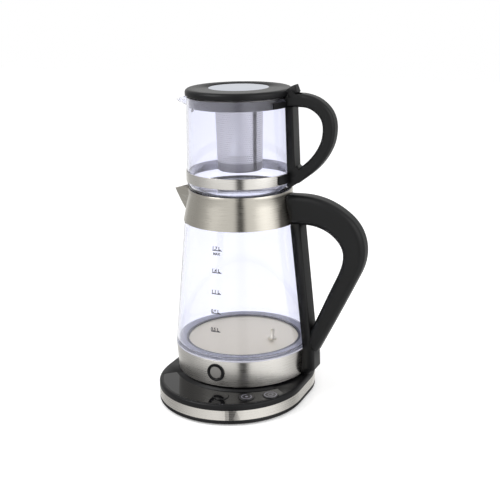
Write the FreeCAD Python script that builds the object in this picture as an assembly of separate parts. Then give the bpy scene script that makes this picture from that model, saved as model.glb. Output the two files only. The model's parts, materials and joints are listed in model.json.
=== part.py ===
import FreeCAD, Part
import math
import os

V = FreeCAD.Vector
UP = V(0, 0, 1)

# Fits and clearances, mm
FIT = 0.15
GAP = 0.35
PLAY = 0.4
EPS = 0.5

# Power base
BASE_R = 82.0
BASE_LONG = 34.0
FOOT_R = 8.0
FOOT_PROUD = 1.5
FOOT_SUNK = 1.5
TRAY_FLOOR = 3.0
TRAY_TOP = FOOT_PROUD + 5.0
BAND_T = 1.2
BAND_TOP = TRAY_TOP + 11.0
COVER_TOP = BAND_TOP + 6.5
COVER_T = 2.5
WALL = 2.2
COVER_ROUND = 3.0
SCREW_R = 1.5
SCREW_HEAD_R = 3.0
BOSS_R = 4.5
SCREW_X = BASE_R - 25.0
SCREW_BACK_Y = 38.0
SCREW_FRONT_Y = -52.0
FOOT_X = BASE_R - 38.0
FOOT_BACK_Y = 55.0
FOOT_FRONT_Y = -88.0
PANEL_T = 0.8
PANEL_INSET = 4.5
PANEL_HALF_DEG = 50.0
KEY_R = 8.5
KEY_DEG = {"timer_key": 8.0, "power_key": 25.0, "warm_key": 41.0}
KEY_PROUD = 1.0
KEY_TRAVEL = 0.7
KEY_STEM_R = 2.0
SWITCH_H = 3.0
BOARD_T = 1.6
BUSH_R = 6.0
BUSH_BORE_R = 3.4
BUSH_L = 16.0

# Connector between base and kettle
CORE_R = 18.0
CORE_TOP = COVER_TOP + 12.0
CORE_FLANGE_R = CORE_R + 3.5
CORE_SEAT = COVER_TOP - 10.0
CORE_FLANGE_T = 3.0
HOLDER_R = CORE_FLANGE_R + 3.5
GROOVES = [(0.0, 2.8), (6.0, 8.2), (12.3, 14.7)]
GROOVE_FLOOR = COVER_TOP
CONTACT_T = 2.0
BLADE_PLAY = 0.6
BLADE_LOW = GROOVE_FLOOR + 2.5
SOCKET_R = CORE_R + 5.0
SOCKET_TOP = CORE_TOP + 8.0

# Kettle
RING_LOW = COVER_TOP + 3.0
RING_TOP = RING_LOW + 30.0
RING_LOW_R = BASE_R - 7.0
RING_TOP_R = RING_LOW_R + 2.1
PANEL_IN_R = RING_LOW_R + 5.0
KEY_RING_R = PANEL_IN_R + 14.0
STEEL = 0.8
GASKET_T = 1.5
GASKET_IN_R = RING_TOP_R - 7.1
GLASS_T = 2.6
GLASS_FLOOR_T = 3.0
GLASS_LOW_R = RING_TOP_R - 0.1
GLASS_TOP_R = GLASS_LOW_R - 14.0
NECK_R = GLASS_TOP_R - 2.4
PLATE_R = RING_LOW_R - 12.2
GLASS_FLOOR_R = PLATE_R + 2.7
PLATE_Z = RING_TOP + 2.5
PLATE_T = 0.8
SPREADER_R = PLATE_R - 8.8
SPREADER_T = 2.0
ELEMENT_R = PLATE_R - 18.8
ELEMENT_TUBE_R = 3.3
PROBE_X = ELEMENT_R - 9.0
PROBE_Y = 2.0
PROBE_R = 2.2
PROBE_H = 12.0
COLLAR_LOW = RING_TOP + 142.0
NECK_TOP = COLLAR_LOW + 6.0
COLLAR_LOW_R = GLASS_TOP_R + 0.9
COLLAR_TOP_R = COLLAR_LOW_R - 6.5
COLLAR_CONE_TOP = COLLAR_LOW + 30.5
LIP_TOP = COLLAR_CONE_TOP + 4.5
SHELF_Z = COLLAR_CONE_TOP - 5.0
SEAT_IN_R = COLLAR_TOP_R - 12.4
SEAT_TOP = SHELF_Z + 5.5
SPOUT_TIP = COLLAR_TOP_R + 24.1
SPOUT_TIP_Z = COLLAR_CONE_TOP - 2.5
BUTTON_Z = RING_LOW + 16.5
BEZEL_R = 9.9
BUTTON_R = 6.9
BEZEL_OUT = 1.6
BUTTON_TRAVEL = 1.2
SPRING_R = 3.6
SPRING_WIRE_R = 0.35
SPRING_TURNS = 4

# Handles
HANDLE_W = 23.0
BAR_T = 8.5
BOSS_OUT = RING_TOP_R + 12.4
TEA_HANDLE_W = 17.0
TEA_BAR_T = 7.5

# Teapot
TEA_LOW_R = COLLAR_TOP_R + 1.1
TEA_TOP_R = TEA_LOW_R - 2.0
TEA_RIM = SEAT_TOP + 104.0
TEA_T = 2.2
TEA_FLOOR_T = 3.0
TEA_CORNER = 12.0
TEA_BAND_LOW = SEAT_TOP + 13.5
TEA_BAND_TOP = TEA_BAND_LOW + 11.1
LIP_OUT = TEA_TOP_R + 17.0

# Lid
LID_R = TEA_TOP_R + 1.5
LID_LOW = TEA_RIM + 1.6
LID_TOP = LID_LOW + 7.4
LID_T = 2.2
DISC_R = 32.7
DISC_T = 1.0
LID_PLATE_R = TEA_TOP_R - 6.5
SEAL_T = 1.6
SEAL_H = 1.5
PIN_X = LID_R + 5.5
PIN_Z = LID_LOW + 2.4
PIN_R = 1.5
TONGUE_W = 11.0
EAR_R = 3.6

# Infuser
RIM_LOW = TEA_RIM - 10.2
RIM_T = 0.6
BASKET_TOP_R = 25.9
BASKET_LOW_R = BASKET_TOP_R - 1.2
BASKET_LOW = SEAT_TOP + 24.0
CUP_H = 10.0
HOLE_R = 1.1

# The frame's origin is the middle of the object's box on the table
HANDLE_REACH = 145.14
AXIS_X = (BASE_R - HANDLE_REACH) / 2
AXIS_Y = BASE_LONG / 2
made = {}


def keep(node, shape):
    """File a finished piece, moved from the kettle's axis to the object's frame."""
    placed = shape.copy()
    placed.translate(V(AXIS_X, AXIS_Y, 0))
    made[node] = placed


def cyl(r, low, high, x=0.0, y=0.0):
    return Part.makeCylinder(r, high - low, V(x, y, low), UP)


def tube(r_out, r_in, low, high, x=0.0, y=0.0):
    return cyl(r_out, low, high, x, y).cut(cyl(r_in, low - EPS, high + EPS, x, y))


def box(x0, x1, y0, y1, z0, z1):
    return Part.makeBox(x1 - x0, y1 - y0, z1 - z0, V(x0, y0, z0))


def lathe(points):
    """Turn an outline of (r, z) points about Z; a point given as a pair of points is an arc."""
    edges = []
    here = points[0]
    for step in points[1:] + [points[0]]:
        if isinstance(step[0], tuple):
            mid, end = step
            edges.append(Part.Arc(V(here[0], 0, here[1]), V(mid[0], 0, mid[1]), V(end[0], 0, end[1])).toShape())
            here = end
        elif step != here:
            edges.append(Part.makeLine(V(here[0], 0, here[1]), V(step[0], 0, step[1])))
            here = step
    return Part.Face(Part.Wire(edges)).revolve(V(0, 0, 0), UP, 360)


def fuse(shapes):
    whole = shapes[0]
    for shape in shapes[1:]:
        whole = whole.fuse(shape)
    return whole.removeSplitter()


def group(shapes):
    return Part.makeCompound(shapes)


def stadium(r, low, high):
    """The base's plan: a half circle round the kettle and one moved to the front."""
    back = Part.Arc(V(r, 0, low), V(0, r, low), V(-r, 0, low)).toShape()
    front = Part.Arc(V(-r, -BASE_LONG, low), V(0, -BASE_LONG - r, low), V(r, -BASE_LONG, low)).toShape()
    left = Part.makeLine(V(-r, 0, low), V(-r, -BASE_LONG, low))
    right = Part.makeLine(V(r, -BASE_LONG, low), V(r, 0, low))
    return Part.Face(Part.Wire([back, left, front, right])).extrude(V(0, 0, high - low))


def on_ring(radius, degrees):
    """Plan position at an angle from the front, towards the handle's side."""
    turn = math.radians(degrees)
    return radius * math.sin(turn), -radius * math.cos(turn)


# Power base: tray, band, cover and what they hold
screw_spots = [(side * SCREW_X, y) for side in (-1, 1) for y in (SCREW_BACK_Y, SCREW_FRONT_Y)]
foot_spots = [(side * FOOT_X, y) for side in (-1, 1) for y in (FOOT_BACK_Y, FOOT_FRONT_Y)]
tray_low = FOOT_PROUD
floor_top = tray_low + TRAY_FLOOR
cover_under = COVER_TOP - COVER_T
band_in = BASE_R - BAND_T
boss_meet = BAND_TOP - 5.0
bush_z = (floor_top + BAND_TOP) / 2

tray = stadium(BASE_R, tray_low, TRAY_TOP)
tray = tray.makeChamfer(1.2, [e for e in tray.Edges if e.BoundBox.ZMax < tray_low + 0.01])
tray = tray.fuse(stadium(band_in - FIT, TRAY_TOP, BAND_TOP - FIT))
tray = tray.cut(stadium(band_in - FIT - WALL, floor_top, BAND_TOP + EPS))
for x, y in screw_spots:
    tray = tray.fuse(cyl(BOSS_R, floor_top, boss_meet, x, y))
    tray = tray.cut(cyl(SCREW_R + FIT, tray_low - EPS, boss_meet + EPS, x, y))
    tray = tray.cut(cyl(SCREW_HEAD_R + FIT, tray_low - EPS, tray_low + WALL, x, y))
for x, y in foot_spots:
    tray = tray.cut(cyl(FOOT_R, tray_low - EPS, tray_low + FOOT_SUNK, x, y))
bush_hole = Part.makeCylinder(BUSH_R, BUSH_L * 2, V(0, BASE_R - BUSH_L, bush_z), V(0, 1, 0))
tray = tray.cut(bush_hole)
keep("base_tray", tray.removeSplitter())
keep("base_feet", group([cyl(FOOT_R, 0, tray_low + FOOT_SUNK, x, y) for x, y in foot_spots]))
band = stadium(BASE_R, TRAY_TOP, BAND_TOP).cut(stadium(band_in, TRAY_TOP - EPS, BAND_TOP + EPS))
keep("base_band", band.cut(bush_hole))

cover = stadium(BASE_R, BAND_TOP, COVER_TOP)
cover = cover.makeFillet(COVER_ROUND, [e for e in cover.Edges if e.BoundBox.ZMin > COVER_TOP - 0.01])
cover = cover.cut(stadium(band_in - WALL, BAND_TOP - EPS, cover_under))
for x, y in screw_spots:
    cover = cover.fuse(cyl(BOSS_R, boss_meet, cover_under + EPS, x, y))
    cover = cover.cut(cyl(SCREW_R, boss_meet - EPS, cover_under - EPS, x, y))
cover = cover.cut(cyl(CORE_R + GAP, BAND_TOP, COVER_TOP + EPS))
panel_zone = stadium(BASE_R - PANEL_INSET, COVER_TOP - PANEL_T, COVER_TOP)
panel_zone = panel_zone.cut(cyl(PANEL_IN_R, COVER_TOP - PANEL_T - EPS, COVER_TOP + EPS))
reach = 2 * BASE_R
sector_points = [V(0, 0, 0)] + [V(*on_ring(reach, turn), 0) for turn in (-PANEL_HALF_DEG, 0, PANEL_HALF_DEG)]
sector = Part.Face(Part.makePolygon(sector_points + [V(0, 0, 0)])).extrude(V(0, 0, 2 * COVER_TOP))
panel_zone = panel_zone.common(sector)
panel = panel_zone
cover = cover.cut(panel_zone)
key_spots = {name: on_ring(KEY_RING_R, turn) for name, turn in KEY_DEG.items()}
for x, y in key_spots.values():
    well = cyl(KEY_R + GAP, BAND_TOP, COVER_TOP + EPS, x, y)
    cover = cover.cut(well)
    panel = panel.cut(well)
keep("base_cover", cover.removeSplitter())
keep("control_panel", panel)

key_low = COVER_TOP - 2.0
board_top = key_low - KEY_TRAVEL - SWITCH_H - 1.0
for name, (x, y) in key_spots.items():
    key = cyl(KEY_R, key_low, COVER_TOP + KEY_PROUD, x, y)
    key = key.makeFillet(0.8, [e for e in key.Edges if e.BoundBox.ZMin > COVER_TOP])
    stem_low = board_top + SWITCH_H + KEY_TRAVEL
    keep(name, key.fuse(cyl(KEY_STEM_R, stem_low, key_low, x, y)).removeSplitter())
switches = [box(x - 3, x + 3, y - 3, y + 3, board_top, board_top + SWITCH_H) for x, y in key_spots.values()]
keep("key_switches", group(switches))
board_zone = stadium(BASE_R - PANEL_INSET - WALL, board_top - BOARD_T, board_top)
board_zone = board_zone.common(sector)
board = board_zone.cut(cyl(PANEL_IN_R, 0, COVER_TOP))
for x, y in screw_spots:
    board = board.cut(cyl(BOSS_R + PLAY, 0, COVER_TOP, x, y))
board_low = board_top - BOARD_T
posts = [on_ring(KEY_RING_R, turn) for turn in (-32.0, 16.0)]
board_posts = [cyl(3.0, floor_top, board_low, x, y) for x, y in posts]
display_x, display_y = on_ring(KEY_RING_R, -12.0)
display = box(display_x - 11, display_x + 11, display_y - 6, display_y + 6, board_top, COVER_TOP - COVER_T)
keep("control_board", board)
keep("board_posts", group(board_posts))
keep("display_module", display)
keep("buzzer", cyl(5.0, board_top, board_top + 4.0, *on_ring(KEY_RING_R, -32.0)))
keep("power_relay", box(-62, -42, -30, -16, floor_top, floor_top + 14))
screws = []
for x, y in screw_spots:
    head = cyl(SCREW_HEAD_R, tray_low + WALL - 1.8, tray_low + WALL, x, y)
    screws.append(head.fuse(cyl(SCREW_R, tray_low + WALL, cover_under - 2, x, y)))
keep("base_screws", group(screws))

bush = Part.makeCylinder(BUSH_R, BUSH_L, V(0, BASE_R - BUSH_L + 3, bush_z), V(0, 1, 0))
bush = bush.common(stadium(BASE_R, 0, COVER_TOP))
bush = bush.cut(Part.makeCylinder(BUSH_BORE_R, BUSH_L * 3, V(0, BASE_R - BUSH_L * 2, bush_z), V(0, 1, 0)))
keep("cord_bush", bush.removeSplitter())
clamp = box(-11, 11, BASE_R - BUSH_L - 8, BASE_R - BUSH_L, floor_top, bush_z + 5)
clamp = clamp.cut(Part.makeCylinder(BUSH_BORE_R, BUSH_L * 3, V(0, BASE_R - BUSH_L * 2, bush_z), V(0, 1, 0)))
keep("cord_clamp", clamp)

# Connector: holder in the base, turning core, contact rings
holder = cyl(HOLDER_R, floor_top, cover_under)
holder = holder.cut(cyl(CORE_FLANGE_R + GAP, CORE_SEAT, cover_under + EPS))
holder = holder.cut(cyl(CORE_R + GAP, floor_top + WALL, cover_under + EPS))
keep("connector_holder", holder)
core = cyl(CORE_R, floor_top + WALL + GAP, CORE_TOP)
core = core.makeFillet(1.5, [e for e in core.Edges if e.BoundBox.ZMin > CORE_TOP - 0.01])
core = core.fuse(cyl(CORE_FLANGE_R, CORE_SEAT, CORE_SEAT + CORE_FLANGE_T))
contacts = []
blades = []
for inner, outer in GROOVES:
    groove = cyl(outer, GROOVE_FLOOR - CONTACT_T, CORE_TOP + EPS)
    contact = cyl(outer, GROOVE_FLOOR - CONTACT_T, GROOVE_FLOOR)
    blade = cyl(outer - BLADE_PLAY, BLADE_LOW, SOCKET_TOP - 2)
    if inner > 0:
        groove = groove.cut(cyl(inner, 0, CORE_TOP + 1))
        contact = contact.cut(cyl(inner, 0, CORE_TOP))
        blade = blade.cut(cyl(inner + BLADE_PLAY, 0, SOCKET_TOP))
    core = core.cut(groove)
    contacts.append(contact)
    blades.append(blade)
keep("connector_core", core)
keep("connector_contacts", group(contacts))

# Kettle: ring, bottom, plate and glass
def kettle_skin(gap):
    """Solid envelope of ring, glass and collar, grown by a gap, that the handle is fitted to."""
    glass_z = RING_TOP + GASKET_T
    return lathe([
        (0, 0), (RING_LOW_R + gap, 0), (RING_LOW_R + gap, RING_LOW), (RING_TOP_R + gap, RING_TOP),
        (RING_TOP_R + gap, glass_z), (GLASS_TOP_R + gap + 0.3, COLLAR_LOW - 1), (COLLAR_LOW_R + gap, COLLAR_LOW - 1),
        (COLLAR_TOP_R + gap, COLLAR_CONE_TOP), (COLLAR_TOP_R + gap, LIP_TOP + 1), (0, LIP_TOP + 1)])


bezel_y = -(RING_LOW_R + (RING_TOP_R - RING_LOW_R) * (BUTTON_Z - RING_LOW) / (RING_TOP - RING_LOW))


def front_rod(r, y_out, y_in):
    """A round rod along Y on the button's axis, from its outer end to its inner end."""
    return Part.makeCylinder(r, y_in - y_out, V(0, y_out, BUTTON_Z), V(0, 1, 0))


ring = lathe([(RING_LOW_R, RING_LOW), (RING_TOP_R, RING_TOP), (GASKET_IN_R, RING_TOP),
              (GASKET_IN_R, RING_TOP - STEEL), (RING_TOP_R - STEEL, RING_TOP - STEEL), (RING_LOW_R - STEEL, RING_LOW)])
ring = ring.cut(front_rod(BEZEL_R - 1.5, bezel_y - 5, bezel_y + 12))
bottom_r = RING_LOW_R - STEEL - FIT
rim_out = RING_LOW_R - 2.5
post_top = RING_LOW + 13.0
bottom = lathe([(SOCKET_R + FIT, RING_LOW), (rim_out - 2.5, RING_LOW), (rim_out - 2.5, COVER_TOP), (rim_out, COVER_TOP),
                (rim_out, RING_LOW),
                (bottom_r, RING_LOW), (bottom_r, RING_LOW + 2.5), (SOCKET_R + FIT, RING_LOW + 2.5)])
bottom_screws = []
for turn in (60, 180, 300):
    x, y = on_ring(RING_LOW_R - 15.0, turn)
    bottom = bottom.fuse(cyl(BOSS_R, RING_LOW + 2.5, post_top, x, y))
    bottom = bottom.cut(cyl(SCREW_R + FIT, RING_LOW - EPS, post_top + 1, x, y))
    head = cyl(SCREW_HEAD_R, RING_LOW - 1.5, RING_LOW, x, y)
    bottom_screws.append(cyl(SCREW_R, RING_LOW, post_top, x, y).fuse(head))
keep("kettle_bottom_cover", bottom)
keep("bottom_screws", group(bottom_screws))
socket = tube(SOCKET_R, CORE_R + PLAY, RING_LOW - 1, SOCKET_TOP)
socket = socket.fuse(cyl(SOCKET_R, CORE_TOP + 1.5, SOCKET_TOP))
socket = socket.fuse(tube(SOCKET_R + 5, SOCKET_R - EPS, RING_LOW + 2.5, RING_LOW + 4.5))
for blade in blades:
    socket = socket.cut(blade)
keep("kettle_socket", socket.removeSplitter())
keep("socket_contacts", group(blades))

plate_low = PLATE_Z - PLATE_T
keep("heating_plate", fuse([cyl(PLATE_R, plate_low, PLATE_Z),
                            tube(PLATE_R, PLATE_R - STEEL, RING_TOP - 4, PLATE_Z)]).cut(
    cyl(PROBE_R, 0, PLATE_Z + 1, PROBE_X, PROBE_Y)))
spreader = cyl(SPREADER_R, plate_low - SPREADER_T, plate_low)
keep("heat_spreader", spreader.cut(cyl(PROBE_R, 0, PLATE_Z + 1, PROBE_X, PROBE_Y)))
element_z = plate_low - SPREADER_T - ELEMENT_TUBE_R
element = Part.makeTorus(ELEMENT_R, ELEMENT_TUBE_R, V(0, 0, element_z), UP, -180, 180, 330)
keep("heating_element", element)
seal_r = GLASS_FLOOR_R - FIT
seal = tube(seal_r, PLATE_R + FIT, RING_TOP - 4, PLATE_Z + 1.2)
seal = seal.fuse(tube(GASKET_IN_R - FIT, seal_r - EPS, RING_TOP - 4, RING_TOP + GASKET_T))
keep("plate_seal", seal.removeSplitter())
keep("foot_gasket", tube(RING_TOP_R, GASKET_IN_R, RING_TOP, RING_TOP + GASKET_T))
probe = cyl(PROBE_R, RING_TOP - 9, PLATE_Z + PROBE_H, PROBE_X, PROBE_Y).fuse(
    tube(5.0, PROBE_R - 0.3, PLATE_Z, PLATE_Z + 1.0, PROBE_X, PROBE_Y))
probe = probe.makeFillet(1.0, [e for e in probe.Edges if e.BoundBox.ZMin > PLATE_Z + PROBE_H - 0.01])
keep("temperature_probe", probe)
glass_low = RING_TOP + GASKET_T
inner_low_r = GLASS_LOW_R - GLASS_T
glass = lathe([(GLASS_FLOOR_R, glass_low), (GLASS_LOW_R - 1.5, glass_low),
               ((GLASS_LOW_R - 0.44, glass_low + 0.44), (GLASS_LOW_R, glass_low + 1.5)),
               (GLASS_TOP_R, COLLAR_LOW - 1.5), (NECK_R, COLLAR_LOW + 0.5), (NECK_R, NECK_TOP),
               (NECK_R - GLASS_T, NECK_TOP), (NECK_R - GLASS_T, COLLAR_LOW), (GLASS_TOP_R - GLASS_T, COLLAR_LOW - 2.5),
               (inner_low_r, glass_low + GLASS_FLOOR_T + 1.5), (inner_low_r - 1.5, glass_low + GLASS_FLOOR_T),
               (GLASS_FLOOR_R, glass_low + GLASS_FLOOR_T)])
keep("kettle_glass", glass)

# Front button in the ring: bezel, button, spring and switch
bezel_front = bezel_y - BEZEL_OUT
bezel_back = bezel_y + 9
bezel = front_rod(BEZEL_R, bezel_front, bezel_y + 0.6).fuse(front_rod(BEZEL_R - 1.5, bezel_y, bezel_back))
bezel = bezel.cut(front_rod(BUTTON_R + PLAY, bezel_front - 1, bezel_back - 1.5))
bezel = bezel.cut(front_rod(2.6, bezel_front, bezel_back + 1)).removeSplitter()
keep("kettle_ring", ring.cut(front_rod(BEZEL_R + FIT, bezel_front, bezel_y + 0.6 + FIT)))
keep("button_bezel", bezel)
button_front = bezel_front + 0.3
button_back = button_front + 3.6
button = front_rod(BUTTON_R, button_front, button_back)
button = button.makeFillet(0.6, [e for e in button.Edges if e.BoundBox.YMax < button_front + 0.01])
stem_end = bezel_back + 0.8
button = button.fuse(front_rod(2.2, button_back - EPS, stem_end))
keep("front_button", button.removeSplitter())
spring_low = button_back + SPRING_WIRE_R + 0.05
spring_high = bezel_back - 1.5 - SPRING_WIRE_R - 0.05
pitch = (spring_high - spring_low) / SPRING_TURNS
helix = Part.makeHelix(pitch, spring_high - spring_low, SPRING_R)
wire_ring = Part.Wire(Part.makeCircle(SPRING_WIRE_R, V(SPRING_R, 0, 0), V(0, 1, 0)))
spring = Part.Wire(helix.Edges).makePipeShell([wire_ring], True, False)
spring.rotate(V(0, 0, 0), V(1, 0, 0), -90)
spring.translate(V(0, spring_low, BUTTON_Z))
keep("button_spring", spring)
switch_y = stem_end + BUTTON_TRAVEL + 0.1
switch = box(-7, 7, switch_y, switch_y + 6, BUTTON_Z - 5, BUTTON_Z + 5)
switch_bracket = box(-7, 7, switch_y, switch_y + 6, RING_LOW + 2.5, BUTTON_Z - 5)
keep("button_switch", switch)
keep("switch_bracket", switch_bracket)

# Kettle collar: cone, rolled lip, shelf for the teapot and a folded V spout
def collar_r(z):
    return COLLAR_LOW_R + (COLLAR_TOP_R - COLLAR_LOW_R) * (z - COLLAR_LOW) / (COLLAR_CONE_TOP - COLLAR_LOW)


lip_mid = (COLLAR_CONE_TOP + LIP_TOP) / 2
cone_out = [(COLLAR_LOW_R, COLLAR_LOW), (COLLAR_TOP_R, COLLAR_CONE_TOP)]
cone_in = [(COLLAR_TOP_R - STEEL, COLLAR_CONE_TOP), (collar_r(SHELF_Z) - STEEL, SHELF_Z), (SEAT_IN_R, SHELF_Z),
           (SEAT_IN_R, SHELF_Z - STEEL), (collar_r(SHELF_Z) - STEEL, SHELF_Z - STEEL), (COLLAR_LOW_R - STEEL, COLLAR_LOW)]
lip = [((COLLAR_TOP_R + 0.3, lip_mid), (COLLAR_TOP_R - STEEL / 2, LIP_TOP)), (COLLAR_TOP_R - STEEL, LIP_TOP)]
collar = lathe(cone_out + lip + cone_in)
spout_shape = [(0.0, 8.1, 5.0), (6.0, 12.6, 10.0), (14.0, 17.1, 14.0), (22.0, 21.1, 17.0), (32.0, 25.6, 19.0)]
spout_levels = [(COLLAR_LOW + up, COLLAR_TOP_R + out, half) for up, out, half in spout_shape]


def spout_solid(inset, low_cut):
    """V wedge through its levels: the ridge and half width of each, drawn in by the sheet."""
    wires = []
    for z, ridge, half in spout_levels:
        root = -(collar_r(z) - 6.0)
        tip = V(-(ridge - inset * 1.8), 0, z)
        left = V(root, -(half - inset), z)
        right = V(root, half - inset, z)
        wires.append(Part.makePolygon([left, tip, right, left]))
    wedge = Part.makeLoft(wires, True, True)
    return wedge.common(box(-2 * BASE_R, 0, -40, 40, low_cut, LIP_TOP + 6))


def inside_cone(gap):
    return lathe([(0, COLLAR_LOW - 2), (COLLAR_LOW_R - gap, COLLAR_LOW - 2), (COLLAR_LOW_R - gap, COLLAR_LOW),
                  (COLLAR_TOP_R - gap, COLLAR_CONE_TOP), (COLLAR_TOP_R - gap, LIP_TOP + 2), (0, LIP_TOP + 2)])


rise = (LIP_TOP - 1.0 - SPOUT_TIP_Z) / (SPOUT_TIP - COLLAR_TOP_R)
mouth = Part.Face(Part.makePolygon([
    V(-SPOUT_TIP - 10, -50, SPOUT_TIP_Z - 10 * rise), V(-COLLAR_TOP_R + 8, -50, LIP_TOP - 1.0 + 8 * rise),
    V(-COLLAR_TOP_R + 8, -50, LIP_TOP + 20), V(-SPOUT_TIP - 10, -50, LIP_TOP + 20),
    V(-SPOUT_TIP - 10, -50, SPOUT_TIP_Z - 10 * rise)])).extrude(V(0, 100, 0))
fold = spout_solid(0, COLLAR_LOW).cut(inside_cone(STEEL / 2)).cut(mouth)
fold = fold.common(box(-SPOUT_TIP, 0, -40, 40, 0, LIP_TOP))
hollow = spout_solid(STEEL, COLLAR_LOW + STEEL)
window = hollow.common(box(-2 * BASE_R, 0, -40, 40, NECK_TOP + 1, SHELF_Z - STEEL - 1))
trough = hollow.cut(inside_cone(0))
collar = collar.fuse(fold).cut(trough).cut(window)
handle_screw_z = [RING_LOW + 17.0, COLLAR_LOW + 15.0]
screw_holes = [Part.makeCylinder(SCREW_R + FIT, 20, V(COLLAR_TOP_R - 7, 0, handle_screw_z[1]), V(1, 0, 0)),
               Part.makeCylinder(SCREW_R + FIT, 20, V(RING_LOW_R - 10, 0, handle_screw_z[0]), V(1, 0, 0))]
keep("kettle_collar", collar.cut(screw_holes[0]).removeSplitter())
made["kettle_ring"] = made["kettle_ring"].cut(screw_holes[1].translated(V(AXIS_X, AXIS_Y, 0)))
keep("collar_seal", tube(NECK_R, NECK_R - GLASS_T - 1.0, NECK_TOP, NECK_TOP + 2.0))
seat_r = collar_r(SEAT_TOP) - STEEL - PLAY
keep("teapot_seat", tube(seat_r - 0.6, SEAT_IN_R, SHELF_Z, SEAT_TOP))


# Handles: rounded sections set square to a centre line
def section(x, z, lean, thick, width, soft):
    """Rounded rectangle across a grip, centred on (x, z), its long side along Y."""
    turn = math.radians(lean)
    across = V(-math.sin(turn), 0, math.cos(turn))
    middle = V(x, 0, z)
    half_t = thick / 2
    half_w = width / 2
    corner = soft * (1 - math.sqrt(0.5))

    def at(a, b):
        return middle + across * a + V(0, b, 0)
    edges = []
    for sa, sb in ((1, 1), (-1, 1), (-1, -1), (1, -1)):
        first = at(sa * half_t, sb * (half_w - soft))
        bend = at(sa * (half_t - corner), sb * (half_w - corner))
        last = at(sa * (half_t - soft), sb * half_w)
        if sa * sb < 0:
            first, last = last, first
        if edges:
            edges.append(Part.makeLine(edges[-1].Vertexes[-1].Point, first))
        edges.append(Part.Arc(first, bend, last).toShape())
    edges.append(Part.makeLine(edges[-1].Vertexes[-1].Point, edges[0].Vertexes[0].Point))
    return Part.Wire(edges)


def grip(stations, width, soft):
    return Part.makeLoft([section(x, z, lean, thick, width, soft) for x, z, lean, thick in stations], True, False)


def slab(points, width):
    """A flat outline in the XZ plane, made as wide as the handle."""
    corners = [V(x, -width / 2, z) for x, z in points]
    return Part.Face(Part.makePolygon(corners + corners[:1])).extrude(V(0, width, 0))


skin = kettle_skin(GAP)
bar_low_x = GLASS_LOW_R + BAR_T + 1.0
bar_top_x = GLASS_TOP_R + BAR_T + 1.5
bar = slab([(GLASS_TOP_R - 13, COLLAR_LOW + 1), (bar_top_x, COLLAR_LOW + 1), (bar_low_x - 1.0, RING_TOP + 12), (BOSS_OUT, RING_TOP),
            (BOSS_OUT + 0.5, RING_LOW + 6), (BOSS_OUT - 5, RING_LOW + 0.8), (RING_LOW_R - 15, RING_LOW + 0.8)], HANDLE_W)
bar = bar.makeFillet(HANDLE_W / 9, [e for e in bar.Edges if abs(e.Vertexes[0].Y - e.Vertexes[-1].Y) < 0.01
                           and e.BoundBox.XMin > bar_top_x - 1])
bar = bar.cut(skin)
kettle_shape = [
    (-1.4, 15.3, 0, 33), (14.6, 15.6, 0, 32.5), (28.6, 15, -4, 31.8), (46.6, 9.8, -19, 30.5),
    (62.1, -0.2, -42, 29.5), (72.4, -14.5, -68, 27.5), (75.2, -30.5, -93, 24.5), (71.9, -46, -108, 22),
    (64.2, -63.5, -114, 20.5), (50.2, -93, -116, 19.5), (37.6, -119, -116, 18.5), (27.1, -141, -116, 17)]
kettle_stations = [(COLLAR_TOP_R + out, COLLAR_LOW + up, lean, thick) for out, up, lean, thick in kettle_shape]
arch = grip(kettle_stations, HANDLE_W, 7.0)
arch = arch.cut(skin).cut(bar)
arch_solid = max(arch.Solids, key=lambda s: s.Volume)
bar_screw = Part.makeCylinder(SCREW_R, 10, V(RING_LOW_R - 1, 0, handle_screw_z[0]), V(1, 0, 0))
arch_screw = Part.makeCylinder(SCREW_R, 10, V(COLLAR_TOP_R + 1.2, 0, handle_screw_z[1]), V(1, 0, 0))
keep("handle_bar", bar.cut(bar_screw))
keep("kettle_handle", arch_solid.cut(arch_screw))
bar_head = Part.makeCylinder(SCREW_HEAD_R, 2, V(RING_LOW_R - 3, 0, handle_screw_z[0]), V(1, 0, 0))
arch_head = Part.makeCylinder(SCREW_HEAD_R, 2, V(COLLAR_TOP_R - 0.8, 0, handle_screw_z[1]), V(1, 0, 0))
keep("handle_screws", group([bar_screw.fuse(bar_head), arch_screw.fuse(arch_head)]))

# Teapot: glass, band and handle
tea_inner_low = TEA_LOW_R - TEA_T
bend = TEA_CORNER * (1 - math.sqrt(0.5))
bend_in = (TEA_CORNER - TEA_T) * (1 - math.sqrt(0.5))
corner_z = SEAT_TOP + TEA_CORNER
tea_glass = lathe([
    (0, SEAT_TOP), (TEA_LOW_R - TEA_CORNER, SEAT_TOP), ((TEA_LOW_R - bend, SEAT_TOP + bend), (TEA_LOW_R, corner_z)),
    (TEA_LOW_R, TEA_BAND_TOP), (TEA_TOP_R, TEA_RIM), (TEA_TOP_R - TEA_T, TEA_RIM), (tea_inner_low, TEA_BAND_TOP),
    (tea_inner_low, corner_z + TEA_FLOOR_T - TEA_T),
    ((tea_inner_low - bend_in, SEAT_TOP + TEA_FLOOR_T + bend_in), (TEA_LOW_R - TEA_CORNER, SEAT_TOP + TEA_FLOOR_T)),
    (0, SEAT_TOP + TEA_FLOOR_T)])


def lip_wedge(inset):
    """Pouring lip: a trough that narrows and drops slightly from the rim to its tip."""
    wires = []
    for out, half, rise_up, drop_down in ((-6.5, 15.0, 4.0, 20.0), (3.5, 10.5, 2.0, 14.5), (11.5, 6.5, -2.0, 10.5),
                                          (LIP_OUT - TEA_TOP_R, 4.0, -4.5, 8.5)):
        x = TEA_TOP_R + out
        top = TEA_RIM + rise_up
        low = TEA_RIM - drop_down
        w = half - inset
        floor_z = low + inset * 1.3
        points = [V(-x, -w, top), V(-x, -w * 0.75, (top + floor_z) / 2), V(-x, 0, floor_z),
                  V(-x, w * 0.75, (top + floor_z) / 2), V(-x, w, top)]
        wires.append(Part.makePolygon(points + points[:1]))
    return Part.makeLoft(wires, True, True)


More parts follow.
